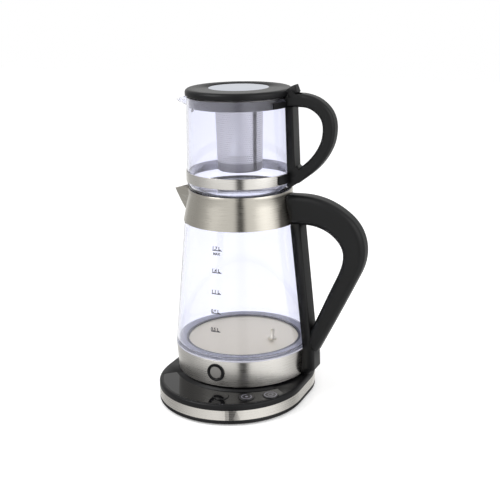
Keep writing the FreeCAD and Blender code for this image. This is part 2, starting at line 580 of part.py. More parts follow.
far = -TEA_TOP_R - 33.5
drop = Part.Face(Part.makePolygon([V(far, -30, TEA_RIM - 11.4), V(-TEA_TOP_R, -30, TEA_RIM), V(-TEA_TOP_R + 5, -30, TEA_RIM),
                                   V(-TEA_TOP_R + 5, -30, TEA_RIM + 16), V(far, -30, TEA_RIM + 16),
                                   V(far, -30, TEA_RIM - 11.4)]))
drop = drop.extrude(V(0, 60, 0))
core_low = TEA_RIM - 34
tea_core = lathe([(0, core_low), (TEA_TOP_R - TEA_T + 0.25, core_low), (TEA_TOP_R - TEA_T, TEA_RIM),
                  (TEA_TOP_R - TEA_T, TEA_RIM + 16), (0, TEA_RIM + 16)])
beak = lip_wedge(0).cut(drop).cut(tea_core)
tea_glass = tea_glass.fuse(beak).cut(lip_wedge(TEA_T).cut(drop).cut(tea_core))
keep("teapot_glass", max(tea_glass.removeSplitter().Solids, key=lambda s: s.Volume))
keep("teapot_band", tube(TEA_LOW_R + FIT + STEEL, TEA_LOW_R + FIT, TEA_BAND_LOW, TEA_BAND_TOP))


def sector_tube(r_out, r_in, low, high, half_deg):
    piece = Part.makeCylinder(r_out, high - low, V(0, 0, low), UP, 2 * half_deg)
    piece = piece.cut(cyl(r_in, low - 1, high + 1))
    piece.rotate(V(0, 0, 0), UP, -half_deg)
    return piece


band_r = TEA_LOW_R + FIT + STEEL
keep("band_clamp", sector_tube(band_r + FIT + 1.4, band_r + FIT, TEA_BAND_LOW + 1, TEA_BAND_TOP - 1, 24))


def tea_skin(gap):
    return lathe([(0, SEAT_TOP - 5), (TEA_LOW_R - TEA_CORNER, SEAT_TOP - 5), (TEA_LOW_R + gap, corner_z - 6), (TEA_LOW_R + gap, TEA_BAND_TOP),
                  (TEA_TOP_R + gap, TEA_RIM + 1), (0, TEA_RIM + 1)])


clamp_keep = cyl(band_r + FIT + 1.4 + FIT, TEA_BAND_LOW + 1 - FIT, TEA_BAND_TOP - 1 + FIT)
band_keep = cyl(band_r + FIT, TEA_BAND_LOW - FIT, TEA_BAND_TOP + FIT)
strap_low = TEA_RIM - 9.5
strap_high = strap_low + 6.5
strap_r = TEA_TOP_R + 0.35
strap_keep = cyl(strap_r + 1.4 + FIT, strap_low - FIT, strap_high + FIT)
tea_bar = slab([(TEA_TOP_R - 6.5, TEA_RIM - 9), (TEA_TOP_R + TEA_BAR_T + 1, TEA_RIM - 9), (TEA_LOW_R + TEA_BAR_T + 1.2, SEAT_TOP + 32),
                (TEA_LOW_R + 19.5, SEAT_TOP + 22), (TEA_LOW_R + 11.5, SEAT_TOP + 14.5), (TEA_LOW_R - 0.5, SEAT_TOP + 6.5),
                (TEA_TOP_R - 6.5, SEAT_TOP + 6)], TEA_HANDLE_W)
tea_shape = [
    (-2.5, 101.6, 0, 14.8), (10.5, 102, 0, 14.4), (21, 101.6, -5, 14), (31, 98.6, -25, 13.9),
    (39.5, 92.6, -42, 14), (45.1, 84.4, -63, 14), (47.1, 74.5, -83, 13.8), (45.9, 62.3, -101, 13.5),
    (41.3, 50.5, -116, 13.2), (33, 38.5, -128, 13), (22.1, 28.2, -138, 12.8), (9.5, 18.2, -143, 12)]
tea_stations = [(TEA_TOP_R + out, SEAT_TOP + up, lean, thick) for out, up, lean, thick in tea_shape]
tea_handle = grip(tea_stations, TEA_HANDLE_W, 4.5).fuse(tea_bar)
ears = slab([(PIN_X - 3.5, PIN_Z - 8), (PIN_X - 3.5, PIN_Z), (PIN_X + EAR_R, PIN_Z), (PIN_X + 10.5, PIN_Z - 0.5),
             (PIN_X + 10.5, PIN_Z - 8)], TEA_HANDLE_W)
ears = ears.fuse(Part.makeCylinder(EAR_R, TEA_HANDLE_W, V(PIN_X, -TEA_HANDLE_W / 2, PIN_Z), V(0, 1, 0)))
tea_handle = tea_handle.fuse(ears).cut(tea_skin(GAP)).cut(clamp_keep).cut(band_keep).cut(strap_keep)
tea_handle = tea_handle.cut(cyl(LID_R + PLAY, LID_LOW - PLAY, LID_TOP + 10))
slot_w = TONGUE_W + 2 * PLAY
tea_handle = tea_handle.cut(box(PIN_X - 13.5, PIN_X + 10.0, -slot_w / 2, slot_w / 2, PIN_Z - 6.5, PIN_Z + 22))
pin_rod = Part.makeCylinder(PIN_R, TEA_HANDLE_W - 1, V(PIN_X, -(TEA_HANDLE_W - 1) / 2, PIN_Z), V(0, 1, 0))
tea_handle = tea_handle.cut(pin_rod)
keep("teapot_handle", max(tea_handle.removeSplitter().Solids, key=lambda s: s.Volume))
keep("handle_strap", sector_tube(strap_r + 1.4, strap_r, strap_low, strap_high, 28))
keep("hinge_pin", pin_rod)
band_screw = Part.makeCylinder(SCREW_R, 7, V(band_r + FIT + 1.4 + FIT, 0, (TEA_BAND_LOW + TEA_BAND_TOP) / 2), V(1, 0, 0))
made["teapot_handle"] = made["teapot_handle"].cut(band_screw.translated(V(AXIS_X, AXIS_Y, 0)))
keep("band_screw", band_screw)

# Lid: shell with tongue and thumb tab, bright disc, underside plate and seal
lid = cyl(LID_R, LID_LOW, LID_TOP)
lid = lid.makeFillet(4.0, [e for e in lid.Edges if e.BoundBox.ZMin > LID_TOP - 0.01])
lid = lid.makeFillet(1.5, [e for e in lid.Edges if e.BoundBox.ZMax < LID_LOW + 0.01])
lid = lid.cut(cyl(LID_PLATE_R, LID_LOW - EPS, LID_TOP - LID_T - DISC_T))
lid = lid.cut(cyl(DISC_R + FIT, LID_TOP - DISC_T, LID_TOP + EPS))
tongue = slab([(LID_R - 6, LID_LOW + 1.2), (PIN_X, PIN_Z - 2.6), (PIN_X + 3.0, PIN_Z - 1.0), (PIN_X + 5.6, PIN_Z + 2.4),
               (PIN_X + 2.6, PIN_Z + 10.2), (PIN_X - 1.0, PIN_Z + 8.6), (LID_R - 2, LID_TOP - 1.2), (LID_R - 6, LID_TOP - 1.2)], TONGUE_W)
tongue = tongue.makeFillet(0.8, [e for e in tongue.Edges if e.BoundBox.XMin > PIN_X + 1])
bore = Part.makeCylinder(PIN_R + 0.06, TONGUE_W + 2, V(PIN_X, -TONGUE_W / 2 - 1, PIN_Z), V(0, 1, 0))
lid = lid.fuse(tongue).cut(bore)
lid = lid.cut(cyl(LID_PLATE_R, LID_LOW - EPS, LID_TOP - LID_T - DISC_T))
keep("lid_shell", lid.removeSplitter())
keep("lid_disc", cyl(DISC_R, LID_TOP - DISC_T, LID_TOP - 0.1))
plate_top = LID_TOP - LID_T - DISC_T
lid_plate = cyl(LID_PLATE_R - FIT, LID_LOW - SEAL_H, LID_LOW + 1.0).fuse(tube(LID_PLATE_R * 0.4, LID_PLATE_R * 0.34, LID_LOW + 1.0 - EPS, plate_top))
keep("lid_plate", lid_plate.removeSplitter())
keep("lid_seal", tube(LID_PLATE_R + SEAL_T, LID_PLATE_R - FIT, LID_LOW - SEAL_H, LID_LOW))

# Infuser: neck ring with strainer holes, perforated basket and solid cup
rim_r = TEA_TOP_R - TEA_T - GAP
flange_r = TEA_TOP_R - 0.4
rim = lathe([(BASKET_TOP_R - RIM_T, RIM_LOW), (rim_r, RIM_LOW), (rim_r, TEA_RIM), (flange_r, TEA_RIM),
             (flange_r, TEA_RIM + RIM_T), (rim_r - RIM_T, TEA_RIM + RIM_T), (rim_r - RIM_T, RIM_LOW + RIM_T),
             (BASKET_TOP_R - RIM_T, RIM_LOW + RIM_T)])
for row, z in enumerate((RIM_LOW + 2.8, RIM_LOW + 6.0)):
    for step in range(-3, 4):
        hole = Part.makeCylinder(HOLE_R, 8, V(-rim_r - 4, 0, z), V(1, 0, 0))
        hole.rotate(V(0, 0, z), UP, step * 4.2 + row * 2.1)
        rim = rim.cut(hole)
keep("infuser_rim", rim)
cup_top = BASKET_LOW + CUP_H
basket = lathe([(BASKET_LOW_R, cup_top), (BASKET_TOP_R, RIM_LOW), (BASKET_TOP_R - RIM_T, RIM_LOW),
                (BASKET_LOW_R - RIM_T, cup_top)])
keep("infuser_basket", basket)
cup = lathe([(0, BASKET_LOW), (BASKET_LOW_R - 2.5, BASKET_LOW),
             ((BASKET_LOW_R - 0.73, BASKET_LOW + 0.73), (BASKET_LOW_R, BASKET_LOW + 2.5)), (BASKET_LOW_R, cup_top),
             (BASKET_LOW_R - RIM_T, cup_top), (BASKET_LOW_R - RIM_T, BASKET_LOW + 2.5), (BASKET_LOW_R - 2.5, BASKET_LOW + RIM_T),
             (0, BASKET_LOW + RIM_T)])
keep("infuser_base", cup)

os.makedirs("parts", exist_ok=True)
for node, shape in made.items():
    shape.exportStep("parts/" + node + ".step")
    box_now = shape.BoundBox
    print(node, len(shape.Solids), shape.isValid(), round(shape.Volume),
          [round(v, 1) for v in (box_now.XMin, box_now.XMax, box_now.YMin, box_now.YMax, box_now.ZMin, box_now.ZMax)])
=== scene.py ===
import json
import math
import bmesh
import bpy
from mathutils import Matrix, Vector


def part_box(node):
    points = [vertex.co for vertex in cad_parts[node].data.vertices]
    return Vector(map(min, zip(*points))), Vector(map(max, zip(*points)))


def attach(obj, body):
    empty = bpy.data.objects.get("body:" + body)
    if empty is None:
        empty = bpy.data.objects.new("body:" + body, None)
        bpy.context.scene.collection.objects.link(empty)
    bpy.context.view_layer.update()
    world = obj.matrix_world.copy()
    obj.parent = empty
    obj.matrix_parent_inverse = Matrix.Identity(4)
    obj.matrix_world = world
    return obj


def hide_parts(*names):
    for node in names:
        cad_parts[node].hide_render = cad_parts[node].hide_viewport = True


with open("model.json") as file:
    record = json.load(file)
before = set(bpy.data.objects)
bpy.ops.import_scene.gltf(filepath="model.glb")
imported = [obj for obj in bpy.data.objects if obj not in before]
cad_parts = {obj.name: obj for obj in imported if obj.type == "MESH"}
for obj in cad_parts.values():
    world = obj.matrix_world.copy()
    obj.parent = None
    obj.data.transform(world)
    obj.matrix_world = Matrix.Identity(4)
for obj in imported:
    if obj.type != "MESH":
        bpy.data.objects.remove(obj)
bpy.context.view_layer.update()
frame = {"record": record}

# Camera. The kettle's axis is where it turns on its base, and the whole object is seen from a
# little to its right and from above. Distances are in metres, the focal length in picture pixels.
MM = 0.001
joints = {joint["name"]: joint for joint in frame["record"]["behaviour"]["joints"]}
axis_x, axis_y = joints["kettle_turn"]["pos_m"][:2]
view_turn = math.radians(24.0)
view_distance = 1.0507
view_height = 0.4705
view_pitch = math.radians(16.42)
view_yaw = math.radians(0.493)
view_roll = math.radians(-1.04)
focal_pixels = 974.75
frame_pixels = 500
sensor_mm = 36.0
near_clip = 0.05
look = Vector((math.sin(view_yaw) * math.cos(view_pitch),
               math.cos(view_yaw) * math.cos(view_pitch),
               -math.sin(view_pitch)))
side = Vector((math.cos(view_yaw), -math.sin(view_yaw), 0.0))
rise = side.cross(look)
side, rise = (math.cos(view_roll) * side + math.sin(view_roll) * rise,
              math.cos(view_roll) * rise - math.sin(view_roll) * side)
camera_data = bpy.data.cameras.new("camera")
camera_data.lens = focal_pixels / frame_pixels * sensor_mm
camera_data.sensor_width = sensor_mm
camera_data.clip_start = near_clip
camera = bpy.data.objects.new("camera", camera_data)
bpy.context.collection.objects.link(camera)
bpy.context.scene.camera = camera
turned = Matrix.Rotation(view_turn, 3, "Z")
camera_axes = Matrix((turned @ side, turned @ rise, turned @ -look)).transposed()
stand = Vector((0.0, -view_distance, view_height))
place = turned @ stand + Vector((axis_x, axis_y, 0.0))
camera.matrix_world = Matrix.Translation(place) @ camera_axes.to_4x4()
bpy.context.scene.view_settings.view_transform = "Standard"

# Room light: an even white tent. Matt surfaces get one soft level from it, the camera and clear
# glass see plain white, and shiny surfaces see bright panels with darker gaps between them.
MATH = "ShaderNodeMath"
white = (1.0, 1.0, 1.0, 1.0)
soft_level = 0.72
panel_blue = 0.99
last_level = 0.9


def put(tree, kind, settings=None, **links):
    """Add one node and set it. An input is named, or numbered as n0; a node links its first output."""
    made = tree.nodes.new(kind)
    for key, value in (settings or {}).items():
        setattr(made, key, value)
    for key, value in links.items():
        numbered = key[0] == "n" and key[1:].isdigit()
        socket = made.inputs[int(key[1:]) if numbered else key.replace("_", " ")]
        if isinstance(value, bpy.types.Node):
            value = value.outputs[0]
        if isinstance(value, bpy.types.NodeSocket):
            tree.links.new(value, socket)
        else:
            socket.default_value = value
    return made


world = bpy.data.worlds.new("studio")
bpy.context.scene.world = world
world.use_nodes = True
sky = world.node_tree
sky.nodes.clear()
ray = put(sky, "ShaderNodeLightPath").outputs
aim = put(sky, "ShaderNodeSeparateXYZ", n0=put(sky, "ShaderNodeTexCoord").outputs["Generated"]).outputs
bearing = put(sky, MATH, {"operation": "ARCTAN2"}, n0=aim["Y"], n1=aim["X"])
whole_turn = put(sky, MATH, {"operation": "DIVIDE"}, n0=bearing, n1=2 * math.pi)
round_turn = put(sky, MATH, {"operation": "FRACT"}, n0=whole_turn)
panels = put(sky, "ShaderNodeValToRGB", n0=round_turn)

# The panels are stops of (part of a turn, brightness). The narrow dark gap beside the camera's
# side gives steel its one upright dark reflection.
lens_side = ((view_turn - math.pi / 2) / (2 * math.pi)) % 1.0
stops = [(0.0, 0.95), (0.03, 0.8), (0.12, 0.4), (0.22, 0.75), (0.30, 1.0), (0.36, 0.9),
         (0.43, 0.5), (0.53, 0.45), (lens_side - 0.22, 0.6), (lens_side - 0.08, 0.9),
         (lens_side - 0.036, 0.9), (lens_side - 0.018, 0.01), (lens_side + 0.008, 0.01),
         (lens_side + 0.028, 1.0), (0.95, 1.0)]
ramp = panels.color_ramp
for position, value in stops:
    stop = ramp.elements.new(position) if position > 0.0 else ramp.elements[0]
    stop.color = (value, value, value * panel_blue, 1.0)
ramp.elements[-1].color = (last_level, last_level, last_level, 1.0)
soft = put(sky, "ShaderNodeBackground", Color=white, Strength=soft_level)
mirrored = put(sky, "ShaderNodeBackground", Color=panels, Strength=1.0)
backdrop = put(sky, "ShaderNodeBackground", Color=white, Strength=1.0)
direct = put(sky, MATH, {"operation": "MAXIMUM"}, n0=ray["Is Camera Ray"], n1=ray["Is Transmission Ray"])
unseen = put(sky, "ShaderNodeMixShader", n0=ray["Is Glossy Ray"], n1=soft, n2=mirrored)
room = put(sky, "ShaderNodeMixShader", n0=direct, n1=unseen, n2=backdrop)
put(sky, "ShaderNodeOutputWorld", Surface=room)

# Lamps: a large soft key from the front left and a weak fill from the right, both turned to the
# object's middle. Places are in mm from the kettle's axis, sizes in metres.
middle_height = 170.0
lamps = {"key": ((-900, -900, 1500), 1.0, 12.0), "fill": ((1300, -300, 900), 1.2, 5.0)}


def spot(x, y, z):
    """A point given in millimetres from the kettle's axis, in the frame's metres."""
    return Vector((x * MM + axis_x, y * MM + axis_y, z * MM))


for name, (at, size, watts) in lamps.items():
    lamp_data = bpy.data.lights.new(name, "AREA")
    lamp_data.shape = "DISK"
    lamp_data.size = size
    lamp_data.energy = watts
    lamp = bpy.data.objects.new(name, lamp_data)
    bpy.context.collection.objects.link(lamp)
    lamp.location = spot(*at)
    lamp.rotation_euler = (spot(0, 0, middle_height) - lamp.location).to_track_quat("-Z", "Y").to_euler()

# Floor: a plain matt white table top that keeps only the object's soft shadow. A low glow brings
# it up to white for the camera and through the glass, and mirrors don't show it.
half_floor = 3.0
floor_glow = 0.32


def srgb(code):
    """An sRGB hex colour as linear RGBA, by the standard curve."""
    parts = [int(code[i:i + 2], 16) / 255 for i in (1, 3, 5)]
    return tuple(c / 12.92 if c <= 0.04045 else ((c + 0.055) / 1.055) ** 2.4 for c in parts) + (1.0,)


def material(name, colour, metal, rough, **more):
    """A material with one Principled shader; returns it, its tree and the shader."""
    made = bpy.data.materials.new(name)
    made.use_nodes = True
    tree = made.node_tree
    shader = tree.nodes["Principled BSDF"]
    shader.inputs["Base Color"].default_value = srgb(colour)
    shader.inputs["Metallic"].default_value = metal
    shader.inputs["Roughness"].default_value = rough
    for key, value in more.items():
        shader.inputs[key.replace("_", " ")].default_value = value
    return made, tree, shader


table = bpy.data.meshes.new("table")
corners = [(-half_floor, -half_floor, 0), (half_floor, -half_floor, 0),
           (half_floor, half_floor, 0), (-half_floor, half_floor, 0)]
table.from_pydata(corners, [], [(0, 1, 2, 3)])
table_top = bpy.data.objects.new("table", table)
bpy.context.collection.objects.link(table_top)
matt_white, tree, shader = material("matt_white_paper", "#ffffff", metal=0.0, rough=0.9)
ray = put(tree, "ShaderNodeLightPath").outputs
direct = put(tree, MATH, {"operation": "MAXIMUM"}, n0=ray["Is Camera Ray"], n1=ray["Is Transmission Ray"])
glow = put(tree, MATH, {"operation": "MULTIPLY"}, n0=direct, n1=floor_glow)
shader.inputs["Emission Color"].default_value = white
tree.links.new(glow.outputs[0], shader.inputs["Emission Strength"])
table.materials.append(matt_white)
table_top.visible_glossy = False

# Base shells: the tray and the cover are two shells of black ABS, screwed together from below.
# They are moulded with a fine satin grain that catches a soft, broken highlight. The real grain
# is too fine to show, so it is drawn at 0.6 mm.
noise_low = 0.3
noise_high = 0.7
merge_distance = 0.00001


def drive(tree, shader, noise, dark, pale, rough_low, rough_high, bump, depth_mm):
    """Break up a shader's colour, roughness and surface with one noise."""
    tint = put(tree, "ShaderNodeMix", {"data_type": "RGBA"}, n0=noise, n6=srgb(dark), n7=srgb(pale))
    spread = put(tree, "ShaderNodeMapRange", n0=noise, n1=noise_low, n2=noise_high,
                 n3=rough_low, n4=rough_high)
    relief = put(tree, "ShaderNodeBump", Strength=bump, Distance=depth_mm * MM, Height=noise)
    tree.links.new(tint.outputs[2], shader.inputs["Base Color"])
    tree.links.new(spread.outputs[0], shader.inputs["Roughness"])
    tree.links.new(relief.outputs[0], shader.inputs["Normal"])


def vary(tree, shader, grain_mm, dark, pale, rough_low, rough_high, bump, depth_mm):
    """Drive a shader with a grain of a size in mm."""
    coords = put(tree, "ShaderNodeTexCoord").outputs["Object"]
    noise = put(tree, "ShaderNodeTexNoise", Vector=coords, Scale=1 / (grain_mm * MM), Detail=3.0)
    drive(tree, shader, noise, dark, pale, rough_low, rough_high, bump, depth_mm)


def new_piece(name, mesh, look_of, crease=32):
    """A smooth piece with one material; edges sharper than the crease, in degrees, stay sharp."""
    mesh.materials.clear()
    mesh.materials.append(look_of)
    mesh.shade_smooth()
    mesh.set_sharp_from_angle(angle=math.radians(crease))
    piece = bpy.data.objects.new(name, mesh)
    bpy.context.collection.objects.link(piece)
    return piece


def finish(piece, body, slot, *nodes):
    """Give a finished piece its body and hide the solids that it stands for. The slot is not used."""
    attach(piece, body)
    if nodes:
        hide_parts(*nodes)
    return piece


def dress(name, node, look_of, body, slot, crease=32):
    """Finish a copy of a solid's surface, merged so that its round faces shade as one."""
    mesh = bpy.data.objects[node].data.copy()
    shape = bmesh.new()
    shape.from_mesh(mesh)
    bmesh.ops.remove_doubles(shape, verts=shape.verts, dist=merge_distance)
    shape.to_mesh(mesh)
    shape.free()
    return finish(new_piece(name, mesh, look_of, crease), body, slot, node)


moulded_abs, tree, shader = material("moulded_black_abs", "#101012", metal=0.0, rough=0.4,
                                     IOR=1.53, Specular_IOR_Level=0.24)
vary(tree, shader, grain_mm=0.6, dark="#0d0d0f", pale="#161618",
     rough_low=0.34, rough_high=0.46, bump=0.12, depth_mm=0.04)
dress("base_tray_shell", "base_tray", moulded_abs, "base", "black_plastic")
dress("base_cover_shell", "base_cover", moulded_abs, "base", "black_plastic")


# Control panel: a hard-coated acrylic overlay, printed black from behind, that lies flush in the
# cover. It is as smooth as glass and mirrors the kettle above it, with broad faint smears.
def uneven_shine(tree, shader, patch_mm, rough_low, rough_high):
    """Vary only a shader's roughness, in patches of a size in mm."""
    coords = put(tree, "ShaderNodeTexCoord").outputs["Object"]
    noise = put(tree, "ShaderNodeTexNoise", Vector=coords, Scale=1 / (patch_mm * MM), Detail=2.0)
    spread = put(tree, "ShaderNodeMapRange", n0=noise, n1=noise_low, n2=noise_high,
                 n3=rough_low, n4=rough_high)
    tree.links.new(spread.outputs[0], shader.inputs["Roughness"])


acrylic, tree, shader = material("printed_black_acrylic", "#0b0b0d", metal=0.0, rough=0.06,
                                 IOR=1.49, Specular_IOR_Level=0.36)
uneven_shine(tree, shader, patch_mm=30.0, rough_low=0.05, rough_high=0.09)
dress("control_overlay", "control_panel", acrylic, "base", "gloss_black")

# Band: a thin strip of stainless steel, brushed along its length and bent round the base. The
# brushing runs level, so it stretches every reflection up and down. Its lines are really finer
# than 0.1 mm and are drawn a few tenths wide, so that they show.
steel_stretch = 0.85
lines_per_radian = 3.0
flat_line_ratio = 60
less_rough, more_rough = 0.03, 0.05
line_bump, line_depth_mm = 0.015, 0.03


def brushed(name, colour, dark, rough, line_mm, level=True):
    """Stainless steel brushed level round the kettle's axis, or across X on a flat plate."""
    made, tree, shader = material(name, colour, 1.0, rough, Anisotropic=steel_stretch)
    tangent = (0.0, 0.0, 1.0) if level else (1.0, 0.0, 0.0)
    grooves = put(tree, "ShaderNodeCombineXYZ", X=tangent[0], Y=tangent[1], Z=tangent[2])
    tree.links.new(grooves.outputs[0], shader.inputs["Tangent"])
    centred = put(tree, "ShaderNodeMapping", Vector=put(tree, "ShaderNodeTexCoord").outputs["Object"],
                  Location=(-axis_x, -axis_y, 0.0))
    at = put(tree, "ShaderNodeSeparateXYZ", n0=centred).outputs
    fine = 1 / (line_mm * MM)
    if level:
        angle = put(tree, MATH, {"operation": "ARCTAN2"}, n0=at["Y"], n1=at["X"])
        drawn = put(tree, MATH, {"operation": "MULTIPLY"}, n0=angle, n1=lines_per_radian)
        across = put(tree, MATH, {"operation": "MULTIPLY"}, n0=at["Z"], n1=fine)
    else:
        drawn = put(tree, MATH, {"operation": "MULTIPLY"}, n0=at["Y"], n1=fine / flat_line_ratio)
        across = put(tree, MATH, {"operation": "MULTIPLY"}, n0=at["X"], n1=fine)
    lines = put(tree, "ShaderNodeCombineXYZ", X=drawn, Y=across)
    noise = put(tree, "ShaderNodeTexNoise", Vector=lines, Scale=1.0, Detail=2.0)
    drive(tree, shader, noise, dark, colour, rough - less_rough, rough + more_rough,
          line_bump, line_depth_mm)
    return made


band_steel = brushed("brushed_stainless_band", "#ece9e4", dark="#d6d2cb", rough=0.28, line_mm=0.5)
dress("base_band_strip", "base_band", band_steel, "base", "brushed_steel")

# Keys: three black ABS caps on short stems, a millimetre proud of the panel, which travel less
# than a millimetre. Two are satin and carry grey rings. These are print, apart from the power key's
# small pale dot at its middle, which is a painted highlight for the bright spot of its dished top.
# The third is plain and as glossy as the panel. A mark is (outer radius, inner radius, start angle, sweep).
ink_t = 0.06
key_marks = {"timer_key": [],
             "power_key": [(5.6, 4.8, 115, 310), (1.5, 0.2, 0, 360)],
             "warm_key": [(6.8, 6.1, 0, 360), (3.0, 2.5, 0, 360)]}
key_abs, tree, shader = material("satin_black_abs_key", "#131316", metal=0.0, rough=0.3,
                                 IOR=1.53, Specular_IOR_Level=0.4)
vary(tree, shader, grain_mm=1.111, dark="#121215", pale="#19191d",
     rough_low=0.26, rough_high=0.34, bump=0.03, depth_mm=0.02)
pale_ink_and_highlight, tree, shader = material("pale_grey_key_ink_and_highlight", "#8d8a96", metal=0.0, rough=0.5)
vary(tree, shader, grain_mm=0.333, dark="#827f8c", pale="#9a97a4",
     rough_low=0.45, rough_high=0.55, bump=0.02, depth_mm=0.01)


def closed_mesh(name, shape):
    """A mesh of a finished closed shape, with its faces turned outwards."""
    bmesh.ops.recalc_face_normals(shape, faces=shape.faces)
    mesh = bpy.data.meshes.new(name)
    shape.to_mesh(mesh)
    shape.free()
    return mesh


def flat_ring(name, centre, r_out, r_in, top, start, sweep, look_of, steps=48):
    """A printed or fired ring or arc, or a painted highlight dot, a few hundredths of a millimetre thick."""
    shape = bmesh.new()
    closed = abs(sweep) >= 360
    count = steps if closed else steps + 1
    section = ((r_out, ink_t), (r_in, ink_t), (r_in, 0.0), (r_out, 0.0))
    rows = []
    for k in range(count):
        a = math.radians(start + sweep * k / steps)
        unit = Vector((math.cos(a), math.sin(a), 0))
        rows.append([shape.verts.new(centre + unit * (r * MM) + Vector((0, 0, (top + h) * MM)))
                     for r, h in section])
    for k in range(steps):
        here, there = rows[k], rows[(k + 1) % count]
        for j in range(4):
            shape.faces.new([here[j], there[j], there[(j + 1) % 4], here[(j + 1) % 4]])
    if not closed:
        shape.faces.new(rows[0])
        shape.faces.new(list(reversed(rows[-1])))
    return new_piece(name, closed_mesh(name, shape), look_of)


for key, marks in key_marks.items():
    low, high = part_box(key)
    dress(key + "_cap", key, key_abs if marks else acrylic, key, "key_black")
    centre = Vector(((low.x + high.x) / 2, (low.y + high.y) / 2, 0))
    for number, (r_out, r_in, start, sweep) in enumerate(marks):
        ring = flat_ring(f"{key}_mark_{number}", centre, r_out, r_in, high.z / MM, start, sweep, pale_ink_and_highlight)
        finish(ring, key, "key_black")

# Feet and cord bush: black nitrile rubber, matt and slightly dusty, pressed into the base.
nitrile, tree, shader = material("black_nitrile_rubber", "#202020", metal=0.0, rough=0.75)
vary(tree, shader, grain_mm=0.667, dark="#1c1c1c", pale="#2a2a29",
     rough_low=0.7, rough_high=0.85, bump=0.2, depth_mm=0.05)
for node in ("base_feet", "cord_bush"):
    dress(node + "_rubber", node, nitrile, "base", "rubber")

# Kettle ring: the steel foot of the kettle, drawn from sheet with level brushing. It is the
# brightest steel on the object, with a dark upright reflection at its middle.
sheet = 0.8
ring_flare = 2.1
ring_inner_r = 70.0
ring_edge = 0.5


def span(node):
    """A solid's lowest and highest z in mm, and its half width along X."""
    low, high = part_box(node)
    return low.z / MM, high.z / MM, (high.x - low.x) / 2 / MM


def soften(points, radius, steps=4):
    """Round the corners of a closed outline, apart from those on the axis."""
    most_of_side = 0.45
    rounded = []
    for i, here in enumerate(points):
        if here[0] <= 0.0:
            rounded.append(tuple(here))
            continue
        corner = Vector(here)
        run_in = Vector(points[i - 1]) - corner
        run_out = Vector(points[(i + 1) % len(points)]) - corner
        reach = min(radius, run_in.length * most_of_side, run_out.length * most_of_side)
        start = corner + run_in.normalized() * reach
        end = corner + run_out.normalized() * reach
        for k in range(steps + 1):
            t = k / steps
            rounded.append(tuple((1 - t) ** 2 * start + 2 * t * (1 - t) * corner + t ** 2 * end))
    return rounded


def turned_piece(name, node, outline, look_of, body, slot, steps=128):
    """Finish a piece made by turning a closed outline of (radius, height) in mm about the axis."""
    shape = bmesh.new()
    rings = []
    for r, z in outline:
        if r <= 0.0:
            rings.append([shape.verts.new(spot(0, 0, z))])
        else:
            rings.append([shape.verts.new(spot(r * math.cos(a), r * math.sin(a), z))
                          for a in (2 * math.pi * k / steps for k in range(steps))])
    for i, ring in enumerate(rings):
        other = rings[(i + 1) % len(rings)]
        for k in range(steps):
            n = (k + 1) % steps
            corners = [ring[k % len(ring)], ring[n % len(ring)], other[n % len(other)], other[k % len(other)]]
            corners = list(dict.fromkeys(corners))
            if len(corners) > 2:
                shape.faces.new(corners)
    return finish(new_piece(name, closed_mesh(name, shape), look_of), body, slot, node)


ring_steel = brushed("brushed_stainless_ring", "#f0eeea", dark="#dbd7d1", rough=0.28, line_mm=0.45)
low_z, high_z, ring_top_r = span("kettle_ring")
ring_low_r = ring_top_r - ring_flare
outline = soften([(ring_low_r, low_z), (ring_top_r, high_z), (ring_inner_r, high_z),
                  (ring_inner_r, high_z - sheet), (ring_top_r - sheet, high_z - sheet),
                  (ring_low_r - sheet, low_z)], ring_edge)
turned_piece("kettle_ring_steel", "kettle_ring", outline, ring_steel, "kettle", "brushed_steel")

# Kettle bottom, socket and connector: the same moulded ABS. The bottom closes the ring and
# carries the socket, and the socket turns on the round connector of the base.
mouldings = (("kettle_bottom_cover", "kettle"), ("kettle_socket", "kettle"), ("connector_core", "connector"))
for node, body in mouldings:
    dress(node + "_moulding", node, moulded_abs, body, "black_plastic")

# Foot gasket: pale grey silicone under the glass, smooth with a soft sheen. It reads as the
# double line above the ring.
gasket_inner_r = 70.0
gasket_edge = 0.4
pale_silicone, tree, shader = material("pale_grey_silicone", "#d3d3df", metal=0.0, rough=0.35, IOR=1.41)
vary(tree, shader, grain_mm=2.5, dark="#cbcbd8", pale="#dbdbe5",
     rough_low=0.3, rough_high=0.42, bump=0.03, depth_mm=0.03)
low_z, high_z, gasket_r = span("foot_gasket")
outline = soften([(gasket_inner_r, low_z), (gasket_r, low_z), (gasket_r, high_z),
                  (gasket_inner_r, high_z)], gasket_edge)
turned_piece("foot_gasket_ring", "foot_gasket", outline, pale_silicone, "kettle", "rubber")

# Plate seal: a darker smoke-grey silicone ring, pressed in between the plate and the glass floor.
smoke_silicone, tree, shader = material("smoke_grey_silicone", "#5d5d66", metal=0.0, rough=0.35, IOR=1.41)
vary(tree, shader, grain_mm=2.5, dark="#54545d", pale="#696972",
     rough_low=0.3, rough_high=0.42, bump=0.03, depth_mm=0.03)
dress("plate_seal_ring", "plate_seal", smoke_silicone, "kettle", "silicone")

# Heating plate: stainless steel disc, brushed one way and faintly straw-coloured by heat, with
# the sensor pin standing in it.
plate_edge = 0.3
plate_steel = brushed("heat_tinted_stainless_plate", "#f6efd9", dark="#e6dec8",
                      rough=0.42, line_mm=0.6, level=False)
low_z, high_z, plate_r = span("heating_plate")
outline = soften([(0.0, high_z - sheet), (plate_r - sheet, high_z - sheet), (plate_r - sheet, low_z),
                  (plate_r, low_z), (plate_r, high_z), (0.0, high_z)], plate_edge)
turned_piece("heating_plate_disc", "heating_plate", outline, plate_steel, "kettle", "plate_steel")
dress("sensor_pin", "temperature_probe", plate_steel, "kettle", "plate_steel")

